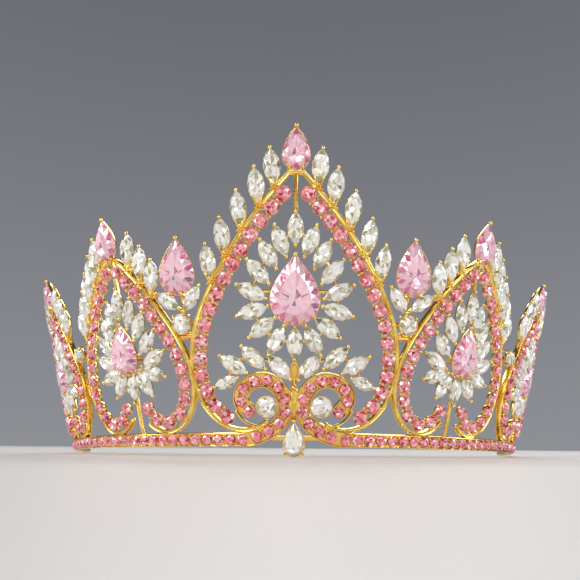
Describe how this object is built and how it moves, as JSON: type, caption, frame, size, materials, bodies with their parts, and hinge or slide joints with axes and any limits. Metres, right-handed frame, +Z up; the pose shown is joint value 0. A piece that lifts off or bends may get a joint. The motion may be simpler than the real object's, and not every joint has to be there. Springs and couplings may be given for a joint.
{
  "type": "tiara",
  "caption": "Open gilt tiara with pointed openwork arches, pear-shaped pink stones, clear petal stones and rows of small pink stones on a curved band.",
  "frame": {"origin": "middle of the whole outline, on the surface that it stands on", "axes": "+Z up, -Y towards the front, +X to the right of the picture"},
  "size_m": [0.1734, 0.1018, 0.0856],
  "materials": {
    "gold": "polished",
    "pink_stone": "polished",
    "pale_pink_stone": "polished",
    "clear_stone": "polished"
  },
  "bodies": {
    "root": {"frame": "gold", "centre_pinks_left": "pink_stone", "centre_pinks_right": "pink_stone", "side_pinks_left_inner": "pink_stone", "side_pinks_left_outer": "pink_stone", "side_pinks_right_inner": "pink_stone", "side_pinks_right_outer": "pink_stone", "outer_pinks_left_inner": "pink_stone", "outer_pinks_left_outer": "pink_stone", "outer_pinks_right_inner": "pink_stone", "outer_pinks_right_outer": "pink_stone", "centre_flower_pear": "pale_pink_stone", "centre_top_pear": "pale_pink_stone", "side_flower_pear_left": "pale_pink_stone", "side_flower_pear_right": "pale_pink_stone", "side_top_pear_left": "pale_pink_stone", "side_top_pear_right": "pale_pink_stone", "outer_flower_pear_left": "pale_pink_stone", "outer_flower_pear_right": "pale_pink_stone", "outer_top_pear_left": "pale_pink_stone", "outer_top_pear_right": "pale_pink_stone", "stem_pear_left": "pale_pink_stone", "stem_pear_right": "pale_pink_stone", "stem_round_left": "clear_stone", "stem_round_right": "clear_stone", "gap_round_left": "clear_stone", "gap_round_right": "clear_stone", "scroll_round_left": "clear_stone", "scroll_round_right": "clear_stone", "pendant": "clear_stone"}
  },
  "joints": []
}
